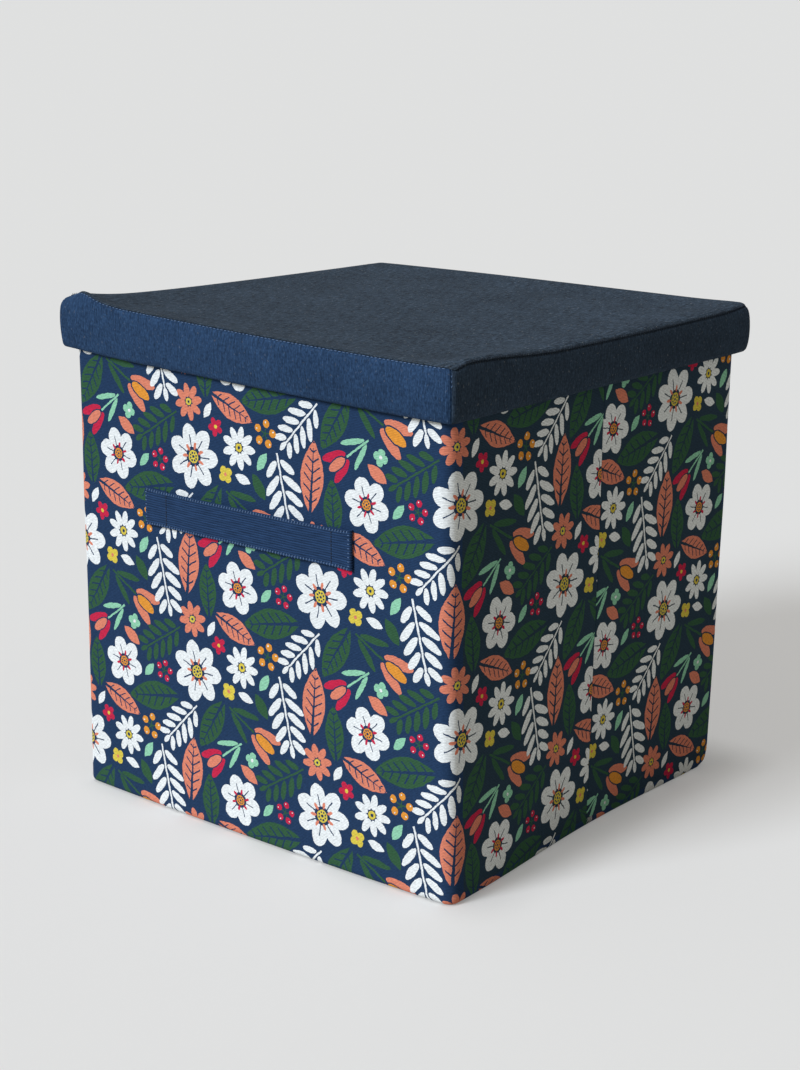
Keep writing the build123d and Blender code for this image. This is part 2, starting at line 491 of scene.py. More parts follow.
def makePrintedCanvas(name, ground):
    material, cloth, u, v = newCloth(name, printPlan["roughness"])
    drawn = cloth
    for scale, reach in printPlan["cutEdge"]:
        drawn = wander(drawn, scale, reach)
    colour = inks[ground]
    for kind, places in motifPlan.items():
        for size, x, y, turn, count, colours in places:
            values = {"Under": colour, "Cloth": drawn, "Count": count}
            values.update(zip(placeLabels, (x * mm, y * mm, turn, size * mm)))
            values.update(zip(inkLabels, (inks[label] for label in colours.split())))
            colour = addNode(cloth.tree, "Group", values, node_tree=motifGroups[kind])[0]
    height, shade = useWeave(cloth, printPlan["rib"], printPlan["thread"])
    wear = clothNoise(cloth, *printPlan["wearNoise"])[0].fit(*printPlan["wear"])
    grain = evenly(stretchedNoise(u, v, *printPlan["grainNoise"]), printPlan["grain"])
    return finishMaterial(material, shadeColour(colour, shade * wear * grain), height, *printPlan["bump"])


# plain canvas: base and fleck, grain, dust, strength of the thick threads each way and their scale
navyLooks = {
    "navy canvas": (ink(33, 54, 84), ink(50, 76, 110), 0.3, 0.12, (0.6, 0.2), (160, 1100)),
    # the lid's left and right rims: a greyer, less blue copy of the navy canvas, painted shade
    "navy canvas painted shade": (ink(37, 50, 66), ink(55, 70, 87), 0.3, 0.2, (0.6, 0.2), (160, 1100)),
    # the top: greyer base and fleck inks are painted sheen of light grazing the top; its lint specks are dust
    "navy canvas painted sheen": (ink(40, 52, 66), ink(63, 75, 88), 1.0, 0.4, (0.4, 1.3), (120, 1100)),
}
navyPlan = {
    "rib": 0.9 * mm, "thread": 0.75 * mm, "roughness": 0.92, "bump": (0.6, 0.25 * mm),
    "heatherNoise": (620, 1250), "heather": (2.4, -0.75), "cloudNoise": (22, 5.0, 0.65), "cloud": 0.4,
    "grainNoise": (420, 3.0, 0.75), "slubDetail": 3.0,
    "lintNoise": (480, 2.0), "lint": (12.0, -8.4), "lintInk": ink(170, 172, 172),
}


def makeNavyCanvas(name, base, fleck, grain, dust, slubs, slubScale):
    material, cloth, u, v = newCloth(name, navyPlan["roughness"])
    height, shade = useWeave(cloth, navyPlan["rib"], navyPlan["thread"])
    heather = stretchedNoise(u, v, *navyPlan["heatherNoise"]).fit(*navyPlan["heather"])
    colour = mixColour(limited(heather), base, fleck)
    shade = shade * evenly(clothNoise(cloth, *navyPlan["cloudNoise"])[0], navyPlan["cloud"])
    shade = shade * evenly(clothNoise(cloth, *navyPlan["grainNoise"])[0], grain)
    for strength, scale in zip(slubs, (slubScale, slubScale[::-1])):
        shade = shade * evenly(stretchedNoise(u, v, *scale, navyPlan["slubDetail"]), strength)
    lint = limited(clothNoise(cloth, *navyPlan["lintNoise"])[0].fit(*navyPlan["lint"]))
    colour = mixColour(lint * dust, shadeColour(colour, shade), navyPlan["lintInk"])
    return finishMaterial(material, colour, height, *navyPlan["bump"])


webbingPlan = {
    "ink": ink(37, 60, 94), "roughness": 0.85, "bump": (0.6, 0.35 * mm), "rib": 1.45 * mm, "pick": 1.1 * mm,
    "pickHeight": 0.12, "slubNoise": (90, 700, 3.0), "slub": 1.3, "shade": (0.7, 0.07),
}


def makeWebbing():
    material, cloth, u, v = newCloth("navy webbing", webbingPlan["roughness"])
    ribs = abs((v * (math.pi / webbingPlan["rib"])).sin())
    picks = (u * (fullTurn / webbingPlan["pick"])).sin()
    slubs = stretchedNoise(u, v, *webbingPlan["slubNoise"])
    height = picks.fit(webbingPlan["pickHeight"], slubs.fit(webbingPlan["slub"], ribs))
    colour = shadeColour(webbingPlan["ink"], height.fit(*webbingPlan["shade"]))
    return finishMaterial(material, colour, height, *webbingPlan["bump"])


feltPlan = {
    "ink": ink(108, 111, 120), "roughness": 0.92, "sheen": 0.1, "bump": (0.5, 0.15 * mm),
    "dimple": 1.6 * mm, "press": (2.5, -0.75), "pressShade": -0.22,
    "fibreNoise": (1500, 3.0, 0.7), "fibre": 0.5, "cloudNoise": (40, 3.0), "cloud": (0.3, 0.62),
}


def makeLiningFelt():
    material, cloth, u, v = newCloth("lining felt", feltPlan["roughness"], feltPlan["sheen"])
    pitch = fullTurn / feltPlan["dimple"]
    press = limited(((u * pitch).sin() * (v * pitch).sin()).fit(*feltPlan["press"]))
    fibre = clothNoise(cloth, *feltPlan["fibreNoise"])[0]
    cloud = clothNoise(cloth, *feltPlan["cloudNoise"])[0].fit(*feltPlan["cloud"])
    shade = press.fit(feltPlan["pressShade"], fibre.fit(feltPlan["fibre"], cloud))
    return finishMaterial(material, shadeColour(feltPlan["ink"], shade), fibre - press, *feltPlan["bump"])


# card and thread: ink, roughness, sheen, scale and detail of the fibres, how much they vary, bump
plainLooks = {
    "grey card": (ink(146, 139, 127), 0.9, 0.0, (420, 4.0), 0.25, (0.3, 0.1 * mm)),
    "pale blue thread": (ink(92, 118, 156), 0.7, 0.1, (2600, 2.0), 0.35, None),
    "dark thread": (ink(22, 30, 44), 0.7, 0.1, (2600, 2.0), 0.35, None),
}


def makePlain(name, colour, roughness, sheen, fibreNoise, vary, bump):
    material, tree = newMaterial(name, roughness, sheen)
    fibre = solidNoise(tree, *fibreNoise)
    relief = (fibre, *bump) if bump else ()
    return finishMaterial(material, shadeColour(colour, evenly(fibre, vary)), *relief)


weaveGroup = makeWeaveGroup()
motifGroups = makeMotifs()
printedCanvas = makePrintedCanvas("printed canvas", "navy")
# a copy of the print with that ground, painted shade for the side walls
printedPaintedShade = makePrintedCanvas("printed canvas painted shade", "paintedShadeNavy")
# the rims' sides look is a copy of the navy canvas with painted shade
# the top look is a greyer copy of the navy canvas: painted sheen
navyCanvas, navyPaintedShade, navyPaintedSheen = [makeNavyCanvas(name, *look) for name, look in navyLooks.items()]
navyWebbing = makeWebbing()
liningFelt = makeLiningFelt()
greyCard, paleThread, darkThread = [makePlain(name, *look) for name, look in plainLooks.items()]
print("materials made")

# how the soft body leans and bulges, in one smooth field that every wall layer follows
slump = {  # a fade is the power by which a shape dies out
    "flare": 3.4 * mm, "flareFade": 1.6,  # front foot spreads to both sides
    "frontBulge": 2.6 * mm, "bulgeFade": 1.2,  # front foot stands out
    "creaseIn": 5.2 * mm, "creaseFade": 1.5,  # mid-side seam drawn in at the foot
    "creaseInTop": 0.6 * mm,
    "rearPull": 5.0 * mm, "rearFade": 1.5,  # right rear foot drawn forward
    "rearIn": 4.0 * mm,  # and in
    "tipLift": 5.5 * mm, "tipFade": 1.5,  # tip of that foot, beyond the base board, stands off the floor
    "tipIn": 2.0 * mm,
    "tipReach": 15.8 * mm,
    "tipHeight": 16 * mm,
    "ripple": 0.45 * mm,
    "rippleScale": 13.0,
    "rippleShift": (7.3, 1.9, 4.1),
}


def softWall(p):
    x, y, z = p
    drop = 1 - clamp(z / wallTop)
    towardFront = softStep(0.5 - y / (2 * halfDepth))
    towardRear = 1 - towardFront
    acrossX, acrossY = x / halfWidth, y / halfDepth
    dx = slump["flare"] * acrossX * drop ** slump["flareFade"] * towardFront ** 2
    dy = -slump["frontBulge"] * (1 - clamp(acrossX ** 2)) * drop ** slump["bulgeFade"] * towardFront ** 3
    middle = math.cos(quarterTurn * clamp(acrossY, -1, 1)) ** 2
    pinch = slump["creaseInTop"]
    pinch += (slump["creaseIn"] - slump["creaseInTop"]) * drop ** slump["creaseFade"]
    dx -= pinch * math.copysign(acrossX * acrossX, acrossX) * middle
    towardRight = softStep(0.5 + acrossX / 2)
    drawn = drop ** slump["rearFade"] * towardRear ** 2 * towardRight ** 2
    beyond = 1 - (halfWidth + halfDepth - x - y) / slump["tipReach"]
    tip = clamp(beyond) ** slump["tipFade"] * (1 - clamp(z / slump["tipHeight"])) ** 2
    dx -= slump["rearIn"] * drawn + slump["tipIn"] * tip
    dy -= slump["rearPull"] * drawn + slump["tipIn"] * tip
    wave = slump["ripple"] * (1 - drop ** 4)
    scaled = Vector(p) * slump["rippleScale"]
    dx += wave * acrossX * noise.noise(scaled)
    dy += wave * acrossY * noise.noise(scaled + Vector(slump["rippleShift"]))
    return Vector((x + dx, y + dy, z + slump["tipLift"] * tip))


# the two printed cloths are unrolled round the body: one to the front, one to the rear
rearShift = (0.071, 0.043)
cornerArc = cornerRadius * quarterTurn


def clothU(x, y):
    side = math.copysign(1, x)
    reach = abs(y) - cornerY
    if abs(x) <= cornerX:
        return x
    if reach <= 0:
        return side * (cornerX + cornerArc - reach)
    return side * (cornerX + cornerRadius * math.atan2(abs(x) - cornerX, reach))


def printUv(x, y, v):
    if y <= 0:
        return clothU(x, y), v
    return rearShift[0] - clothU(x, y), v + rearShift[1]


# pieces: a mesh, thickened when it is cloth, that goes with a body and stands for a solid
sharpAngle = math.radians(40)
longEdge = 20 * mm  # edges of a card that are longer are cut up, so that it follows the soft shapes


def finishPiece(name, bm, materials, thickness=0.0, offset=-1.0, smooth=True):
    mesh = bpy.data.meshes.new(name)
    bm.to_mesh(mesh)
    bm.free()
    piece = bpy.data.objects.new(name, mesh)
    scene.collection.objects.link(piece)
    for material in materials:
        mesh.materials.append(material)
    if smooth:
        mesh.shade_smooth()
    if thickness:
        thicken(piece, thickness, offset)
    return piece


def thicken(piece, thickness, offset):
    solid = piece.modifiers.new("thickness", "SOLIDIFY")
    solid.thickness = thickness
    solid.offset = offset
    solid.use_even_offset = True
    bpy.context.view_layer.update()
    evaluated = piece.evaluated_get(bpy.context.evaluated_depsgraph_get())
    done, thin = bpy.data.meshes.new_from_object(evaluated), piece.data
    piece.modifiers.clear()
    piece.data = done
    done.name = piece.name
    done.set_sharp_from_angle(angle=sharpAngle)
    bpy.data.meshes.remove(thin)


def settle(piece, body, node=None):
    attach(piece, body)
    if node:
        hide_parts(node)


def clothPiece(name, bm, materials, thickness, body, slot, node, flat, held="stretched", offset=-1.0,
               **rests):
    piece = finishPiece(name, bm, materials, thickness, offset)
    settle(piece, body, node)
    return piece


def gridSheet(pointsAcross, pointsUp, place, uvOf):
    columns, rows = pointsAcross - 1, pointsUp - 1
    bm = bmesh.new()
    bmesh.ops.create_grid(bm, x_segments=columns, y_segments=rows, size=0.5)
    layer = bm.loops.layers.uv.new("cloth")
    cells = {v: (round((v.co.x + 0.5) * columns), round((v.co.y + 0.5) * rows)) for v in bm.verts}
    for face in bm.faces:
        for loop in face.loops:
            loop[layer].uv = uvOf(*cells[loop.vert])
    for v, cell in cells.items():
        v.co = place(*cell)
    return bm


# tray and cap shapes: a flat sheet whose edge rolls over and runs on as a skirt
def trayStations(half, corner, edge, skirt, counts):
    inner, flat, roll, down = counts
    rollEnd = corner - edge + edge * quarterTurn
    steps = runStations(0, corner - edge, flat)[1:]
    steps += runStations(corner - edge, rollEnd, roll)[1:]
    steps += runStations(rollEnd, rollEnd + skirt, down)[1:]
    reach = half - corner
    stations = [(-reach, -s) for s in reversed(steps)]
    stations += [(q, 0.0) for q in runStations(-reach, reach, inner)]
    return stations + [(reach, s) for s in steps]


def trayPoint(stationX, stationY, corner, edge):
    (qx, ox), (qy, oy) = stationX, stationY
    far, near = max(abs(ox), abs(oy)), min(abs(ox), abs(oy))
    if far == 0:
        return qx, qy, 0.0, qx, qy
    turn = math.pi / 4 * near / far
    if abs(oy) > abs(ox):
        turn = quarterTurn - turn
    dirX = math.copysign(math.cos(turn), ox) if ox else 0.0
    dirY = math.copysign(math.sin(turn), oy) if oy else 0.0
    flat = corner - edge
    if far <= flat:
        out, drop = far, 0.0
    elif far <= flat + edge * quarterTurn:
        angle = (far - flat) / edge
        out, drop = flat + edge * math.sin(angle), edge * (1 - math.cos(angle))
    else:
        out, drop = corner, edge + far - flat - edge * quarterTurn
    return qx + dirX * out, qy + dirY * out, drop, qx + dirX * far, qy + dirY * far


def traySheet(halfA, halfB, corner, edge, skirt, counts, place, uvOf=None):
    acrossA = trayStations(halfA, corner, edge, skirt, (counts[0],) + counts[2:])
    acrossB = trayStations(halfB, corner, edge, skirt, (counts[1],) + counts[2:])

    def point(i, j):
        return trayPoint(acrossA[i], acrossB[j], corner, edge)

    def uvCell(i, j):
        return uvOf(*point(i, j)[:3]) if uvOf else point(i, j)[3:]

    return gridSheet(len(acrossA), len(acrossB), lambda i, j: place(*point(i, j)[:3]), uvCell)


# cover cloth: up the outside, over the rim and down inside as a hem
coverCloth = {
    "step": 5 * mm, "rollRows": 8, "hemRows": 5, "hem": 20 * mm, "lip": 4 * mm,
    "curl": 0.7 * mm, "curlIn": 1.6 * mm, "curlColumns": 5, "play": 0.05 * mm,
}


def hemPath(rows):
    radius = hemInner / 2
    springLine = wallTop - radius
    path = [(0.0, z, z) for z in runStations(wallFoot, springLine, rows)]
    for up, depth, run in arcSteps(radius, math.pi, coverCloth["rollRows"]):
        path.append((depth, springLine + up, springLine + run))
    overRoll = springLine + radius * math.pi
    for down in runStations(0, coverCloth["hem"] - radius, coverCloth["hemRows"])[1:]:
        path.append((hemInner, springLine - down, overRoll + down))
    return path


coverPath = hemPath(round((wallTop - wallFoot) / coverCloth["step"]))
coverHeight = coverPath[-1][2] - wallFoot


def coverStations(length, crease, openEnd):
    lip, curl = coverCloth["lip"], coverCloth["curl"]
    low = curl if crease == "start" else lip
    high = length - (curl if crease == "end" else 0 if openEnd else lip)
    stations = [(s, 0.0) for s in runStations(low, high, round((high - low) / coverCloth["step"]))]
    turned = [step[:2] for step in arcSteps(curl, quarterTurn, coverCloth["curlColumns"])]
    turned += [(curl, curl + s) for s in runStations(0, coverCloth["curlIn"], 2)[1:]]
    if crease == "end":
        stations += [(high + along, inward) for along, inward in turned]
    if crease == "start":
        stations = [(low - along, inward) for along, inward in reversed(turned)] + stations
    return stations


def makeCover(name):
    length, crease, body = walls[name][2:]
    stations = coverStations(length, crease, name == "right_rear")

    def place(i, j):
        along, inward = stations[i]
        depth, z, v = coverPath[j]
        inward *= 1 - 2 * depth / hemInner  # both leaves of the hem turn towards each other
        return softWall(wallPoint(name, along, depth + inward, z))

    def uvOf(i, j):
        along = stations[i][0]
        nudge = math.copysign(1e-6, length / 2 - along)  # keeps the seam's own point on its own cloth
        y = wallPoint(name, along + nudge, 0, 0).y
        return printUv(wallPoint(name, along, 0, 0).x, y, coverPath[j][2])

    bm = gridSheet(len(stations), len(coverPath), place, uvOf)
    # the side walls take the shaded copy of the print: painted shade
    material = printedPaintedShade if crease else printedCanvas
    clothPiece("cover_cloth_" + name, bm, [material], coverThick - coverCloth["play"], body, "printed_canvas",
               "cover_" + name, (length, coverHeight), rests_on=["board_" + name])


# cloth corners: a printed skin and a lining round each upright edge; those at the fold lines go with no body,
# the open one goes with the back wall
cornerCloth = {
    "columns": 12, "liningThick": 0.7 * mm, "liningRows": 30, "liningFoot": 0.4 * mm,
    "innerInset": 0.9 * mm, "innerThick": 0.5 * mm,
}
hinged = {
    (-1, -1): ("front_wall", "left_front_wall"),
    (1, -1): ("front_wall", "right_front_wall"),
    (-1, 1): ("back_wall", "left_rear_wall"),
}


def cornerPoint(xSide, ySide, angle, slip, depth, z):
    radial = Vector((xSide * math.sin(angle), ySide * math.cos(angle), 0))
    tangent = Vector((xSide * math.cos(angle), -ySide * math.sin(angle), 0))
    pivot = Vector((xSide * cornerX, ySide * cornerY, z))
    return pivot + radial * (cornerRadius - depth) - tangent * slip


def makeCorner(name, xSide, ySide, path, thickness, material, lips, inset=0.0):
    stations = [(0.0, coverCloth["lip"])] if "start" in lips else []
    stations += [(angle, 0.0) for angle in runStations(0, quarterTurn, cornerCloth["columns"])]
    stations += [(quarterTurn, -coverCloth["lip"])] if "end" in lips else []
    rollRadius = hemInner / 2
    if xSide * ySide > 0:
        stations.reverse()

    def place(i, j):
        angle, slip = stations[i]
        depth, z, v = path[j]
        depth += inset * (1 - depth / rollRadius)
        z -= inset * clamp((z - wallTop) / rollRadius + 1)
        return softWall(cornerPoint(xSide, ySide, angle, slip, depth, z))

    def uvOf(i, j):
        p = cornerPoint(xSide, ySide, *stations[i], 0, 0)
        return printUv(p.x, p.y, path[j][2])

    return finishPiece(name, gridSheet(len(stations), len(path), place, uvOf), [material], thickness)


def makeCorners():
    low, high = wallFoot + cornerCloth["liningFoot"], wallTop - coverCloth["hem"] / 2
    liningDepth = coverThick + cornerCloth["liningThick"]
    liningPath = [(liningDepth, z, z) for z in runStations(low, high, cornerCloth["liningRows"])]
    for xSide, xName in ((-1, "left"), (1, "right")):
        for ySide, yName in ((-1, "front"), (1, "back")):
            place, sides = yName + "_" + xName, (xSide, ySide)
            pair = hinged.get(sides)
            lips = ("start", "end") if pair else ("start",)
            skin = makeCorner("corner_cloth_" + place, *sides, coverPath, coverThick, printedCanvas, lips)
            lining = makeCorner("corner_lining_" + place, *sides, liningPath, cornerCloth["liningThick"],
                                liningFelt, lips)
            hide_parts("corner_" + place)
            layers = ((skin, "printed_canvas", coverHeight), (lining, "lining_cloth", high - low))
            for piece, slot, tall in layers:
                if pair:
                    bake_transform(piece)
                else:
                    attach(piece, "back_wall")
            if not pair:  # the open corner has a second turn of cloth just inside, on the other wall
                thick, inset = cornerCloth["innerThick"], cornerCloth["innerInset"]
                inner = makeCorner("corner_cloth_inner_" + place, *sides, coverPath, thick, printedCanvas, (),
                                   inset)
                settle(inner, "right_rear_wall")


# lining pockets and the card boards in them
liningCloth = {
    "thick": 0.7 * mm, "round": 1.1 * mm, "cornerShare": 1.6, "halfStep": 3 * mm, "rows": 50,
    "edgeCounts": (1, 4, 2), "sag": 0.5 * mm, "sagScale": 22,
}
wallCard = {"play": 0.9 * mm, "outer": 0.05 * mm, "inner": 0.3 * mm, "top": 1.6 * mm, "cuts": 14}


def wallEnds(length, crease):
    return creaseSetback if crease == "start" else 0, length - (creaseSetback if crease == "end" else 0)


def makeLining(name):
    length, crease, body = walls[name][2:]
    start, end = wallEnds(length, crease)
    halfA, halfB = (end - start) / 2, (wallTop - coverThick - wallFoot) / 2
    edge = liningCloth["round"]
    skirt = wallThick - coverThick - edge

    def place(a, b, drop):
        slack = noise.noise(Vector((a * liningCloth["sagScale"], b * liningCloth["sagScale"], len(name))))
        depth = wallThick - drop + (liningCloth["sag"] * min(slack, 0) if drop == 0 else 0)
        return softWall(wallPoint(name, (start + end) / 2 - a, depth, wallFoot + halfB + b))

    counts = (round(halfA / liningCloth["halfStep"]), liningCloth["rows"], *liningCloth["edgeCounts"])
    bm = traySheet(halfA, halfB, edge * liningCloth["cornerShare"], edge, skirt, counts, place)
    flat = (2 * halfA + 2 * skirt, 2 * halfB + 2 * skirt)
    clothPiece("lining_pocket_" + name, bm, [liningFelt], liningCloth["thick"], body, "lining_cloth",
               "lining_" + name, flat, rests_on=["board_" + name])


def cardSlab(name, low, high, cuts, place, body, node):
    low, high = Vector(low), Vector(high)
    bm = bmesh.new()
    bmesh.ops.create_cube(bm, size=1.0)
    bmesh.ops.scale(bm, vec=high - low, verts=bm.verts)
    bmesh.ops.translate(bm, vec=(low + high) / 2, verts=bm.verts)
    longEdges = [e for e in bm.edges if e.calc_length() > longEdge]
    bmesh.ops.subdivide_edges(bm, edges=longEdges, cuts=cuts, use_grid_fill=True)
    for v in bm.verts:
        v.co = place(v.co)
    settle(finishPiece(name, bm, [greyCard], smooth=False), body, node)


def makeWallCard(name):
    length, crease, body = walls[name][2:]
    start, end = wallEnds(length, crease)
    play = wallCard["play"]
    low = (start + play, coverThick + wallCard["outer"], wallFoot + play)
    high = (end - play, boardInner - wallCard["inner"], wallTop - wallCard["top"])
    cardSlab("card_" + name, low, high, wallCard["cuts"], lambda p: softWall(wallPoint(name, *p)), body,
             "board_" + name)


# floor cloth with its printed edge turned up to the foot of the walls
floorCloth = {
    "roll": 3.6 * mm, "thick": 0.8 * mm, "fold": 88, "counts": (40, 40, 2, 6, 2), "printFrom": 0.5 * mm,
}


def makeFloor():
    roll = floorCloth["roll"]
    bm = traySheet(halfWidth, halfDepth, cornerRadius, roll, wallFoot - roll, floorCloth["counts"],
                   lambda x, y, drop: softWall((x, y, drop)), printUv)
    bmesh.ops.reverse_faces(bm, faces=bm.faces)
    for face in bm.faces:
        face.material_index = 1 if max(v.co.z for v in face.verts) < floorCloth["printFrom"] else 0
    flat = (2 * halfWidth + 2 * wallFoot, 2 * halfDepth + 2 * wallFoot)
    piece = clothPiece("floor_cloth_tray", bm, [printedCanvas, navyCanvas], floorCloth["thick"], "front_wall",
                       "printed_canvas", "floor_cloth", flat)
    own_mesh(piece)


# loose base board in a sewn sleeve
insertSleeve = {
    "round": 1.5 * mm, "thick": 0.45 * mm, "puff": 0.25 * mm, "puffScale": 30, "counts": (30, 30, 2, 4, 1),
}


def makeInsert():
    low, high = Vector(insertBox[0]), Vector(insertBox[1])
    centre, half = (low + high) / 2, (high - low) / 2
    edge, scale = insertSleeve["round"], insertSleeve["puffScale"]
    skirt = half.z - edge
    for face, up, node in (("top", 1, "insert_cover"), ("under", -1, None)):
        def place(a, b, drop):
            puff = noise.noise(Vector((a * scale, b * scale, up))) if drop == 0 else 0
            sunk = drop + insertSleeve["puff"] * abs(puff)
            return Vector((centre.x + up * a, centre.y + b, centre.z + up * (half.z - sunk)))

        bm = traySheet(half.x, half.y, 2 * edge, edge, skirt, insertSleeve["counts"], place)
        flat = (2 * half.x + 2 * skirt, 2 * half.y + 2 * skirt)
        clothPiece("base_sleeve_" + face, bm, [liningFelt], insertSleeve["thick"], "base_insert",
                   "lining_cloth", node, flat, rests_on=["insert_board"])
    for cardSlot in bpy.data.objects["insert_board"].material_slots:
        cardSlot.material = greyCard


# lid: how its corners stand and its top sinks
lidSlump = {
    "tilt": 7.0 * mm, "tiltFade": 1.5, "backRight": -1.4 * mm,
    "lift": 0.8 * mm, "liftLeft": 1.7 * mm, "liftReach": 10 * mm,  # front edge stands above the top
    "peak": 2.8 * mm, "peakPlace": 22 * mm, "peakReach": 13 * mm, "peakStart": 12 * mm,
    "lip": 3.6 * mm, "lipReach": 14 * mm, "lipStart": 16 * mm, "lipHold": 22 * mm, "lipRun": 80 * mm,
    "dish": 1.8 * mm, "dishEdge": 2.2, "rimBulge": 1.5 * mm,
    "ripple": 0.5 * mm, "rippleScale": (14, 14, 8), "rippleShift": (5, 0, 0),
    "cornerReach": 15 * mm, "cornerTop": 7.5 * mm, "cornerFoot": 2.6 * mm, "cornerFade": 6,
    "slope": 1.6 * mm, "slopeReach": 16 * mm, "slopeDepth": 16 * mm, "slopeLeft": 0.3,
}
# bumps at its corners: side in x and y, height, reach, share of it at the foot of the rim
lidBumps = (
    (-1, -1, 4.1 * mm, 34 * mm, 0.3),
    (-1, 1, -1.0 * mm, 70 * mm, 1.0),
    (1, 1, 1.2 * mm, 24 * mm, 0.0),
)
# how far each corner is worn round, at its top and at its foot
softCorners = {(-1, -1): (1.6, 0.1), (1, 1): (0.6, 0.6), (1, -1): (0.2, 0.2), (-1, 1): (0.3, 0.3)}
lidHalfX, lidHalfY, lidTop = lidBox[1]
rimFoot, rimTop = rimBox[0][2], rimBox[1][2]
lidUnder = lidLiningBox[1][2]
rimThick = lidHalfX - lidLiningBox[1][0]


def bell(distance, reach):
    return math.exp(-(distance / reach) ** 2)


def softLid(p):
    x, y, z = p
    up = clamp((z - rimFoot) / (rimTop - rimFoot))
    crown = clamp((z - lidUnder) / (lidTop - lidUnder))  # the top sinks, the underside stays flat
    fromFront, fromLeft, fromRight = y + lidHalfY, x + lidHalfX, x - lidHalfX
    toLeft, toFront = clamp(0.5 - x / (2 * lidHalfX)), clamp(0.5 - y / (2 * lidHalfY))
    dz = lidSlump["tilt"] * toLeft ** lidSlump["tiltFade"] * toFront ** 2
    dz += lidSlump["backRight"] * (1 - toFront) ** 2 * (1 - toLeft)
    for xSide, ySide, height, reach, foot in lidBumps:
        away = math.hypot(x - xSide * lidHalfX, y - ySide * lidHalfY)
        dz += height * bell(away, reach) * (foot + (1 - foot) * up)
    lift = lidSlump["lift"] + lidSlump["liftLeft"] * toLeft ** 2
    lift += lidSlump["peak"] * bell(fromLeft - lidSlump["peakPlace"], lidSlump["peakReach"])
    lift *= 1 - bell(fromLeft, lidSlump["peakStart"])
    dz += lift * bell(fromFront, lidSlump["liftReach"]) * up ** 2
    lip = softStep(fromFront / lidSlump["lipStart"])
    lip *= softStep(1 - (fromFront - lidSlump["lipHold"]) / lidSlump["lipRun"])
    dz += lidSlump["lip"] * lip * bell(fromRight, lidSlump["lipReach"]) * up ** 2
    inX, inY = 1 - clamp((x / lidHalfX) ** 2), 1 - clamp((y / lidHalfY) ** 2)
    sink = softStep(lidSlump["dishEdge"] * inX) * softStep(lidSlump["dishEdge"] * inY)
    dz -= lidSlump["dish"] * sink * crown
    nearSide = clamp(1 - (lidHalfX - abs(x)) / lidSlump["slopeReach"]) ** 2
    nearSide *= inY * (1 if x > 0 else lidSlump["slopeLeft"])
    dz -= lidSlump["slope"] * nearSide * softStep(1 - (lidTop - z) / lidSlump["slopeDepth"])
    scaled = Vector((x, y, z)) * Vector(lidSlump["rippleScale"])
    dx = lidSlump["ripple"] * noise.noise(scaled) * x / lidHalfX
    dy = lidSlump["ripple"] * noise.noise(scaled + Vector(lidSlump["rippleShift"])) * y / lidHalfY
    level = (2 * z - rimFoot - lidTop) / (lidTop - rimFoot)
    wornTop = lidSlump["cornerTop"] * max(level, 0) ** lidSlump["cornerFade"]
    wornFoot = lidSlump["cornerFoot"] * max(-level, 0) ** lidSlump["cornerFade"]
    for (xSide, ySide), (topShare, footShare) in softCorners.items():
        away = math.hypot(x - xSide * lidHalfX, y - ySide * lidHalfY)
        worn = (topShare * wornTop + footShare * wornFoot) * bell(away, lidSlump["cornerReach"])
        dx -= xSide * worn / math.sqrt(2)
        dy -= ySide * worn / math.sqrt(2)
    return Vector((x + dx, y + dy, z + dz))


# the lid's underside rests on the walls, so it only ever rises
def aboveWalls(p):
    q = softLid(p)
    if p[2] < lidUnder + 1 * mm:
        q.z = max(q.z, p[2])
    return q


lidCap = {
    "corner": 4.2 * mm, "edge": 3.6 * mm, "skirt": 0.2 * mm, "thick": 0.75 * mm, "counts": (70, 70, 1, 6, 1),
    "seamFront": 0.6 * mm, "seamSide": 1.9 * mm, "allowance": 4 * mm,
}


def seamDrop(sideShare):
    return lidCap["seamFront"] + (lidCap["seamSide"] - lidCap["seamFront"]) * sideShare


def makeLidTop():
    corner, full = lidCap["corner"], lidCap["edge"] + lidCap["skirt"]

    def place(a, b, drop):
        outX, outY = max(abs(a) - lidHalfX + corner, 0) ** 2, max(abs(b) - lidHalfY + corner, 0) ** 2
        side = outX / (outX + outY) if outX + outY else 0
        return softLid((a, b, lidTop - drop / full * seamDrop(side)))

    bm = traySheet(lidHalfX, lidHalfY, corner, lidCap["edge"], lidCap["skirt"], lidCap["counts"], place)
    flat = (2 * lidHalfX + lidCap["allowance"], 2 * lidHalfY + lidCap["allowance"])
    # the top panel takes the greyer copy of the navy canvas: painted sheen
    clothPiece("lid_top_panel", bm, [navyPaintedSheen], lidCap["thick"], "lid", "navy_canvas", "lid_top_cloth", flat,
               rests_on=["lid_board"])


# rim of the lid, folded round its cards: which way each side faces and runs
rimSides = {
    "front": ((0, -1), (1, 0)),
    "right": ((1, 0), (0, 1)),
    "back": ((0, 1), (-1, 0)),
    "left": ((-1, 0), (0, -1)),
}
frontBack = ("front", "back")
rimCloth = {
    "step": 5 * mm, "cornerColumns": 5, "rows": 16, "foldRows": 8, "thick": 0.75 * mm,
    "seamTuck": 1.2 * mm, "tuckShare": 0.07, "endTuck": 0.72 * mm, "endReach": 1.6 * mm,
    "leastRadius": 0.3 * mm,
}
lidCard = {
    "inset": 3.0 * mm, "under": 0.1 * mm, "top": 1.6 * mm, "cuts": 30, "rimPlay": 0.15 * mm,
    "rimTop": 0.2 * mm,
}
lidLining = {
    "inset": 0.2 * mm, "corner": 1.5 * mm, "edge": 0.7 * mm, "skirt": 0.05 * mm, "thick": 0.6 * mm,
    "counts": (50, 50, 1, 2, 1),
}


def rimHalf(side):
    return (lidHalfX if side in frontBack else lidHalfY) - lidCap["corner"]


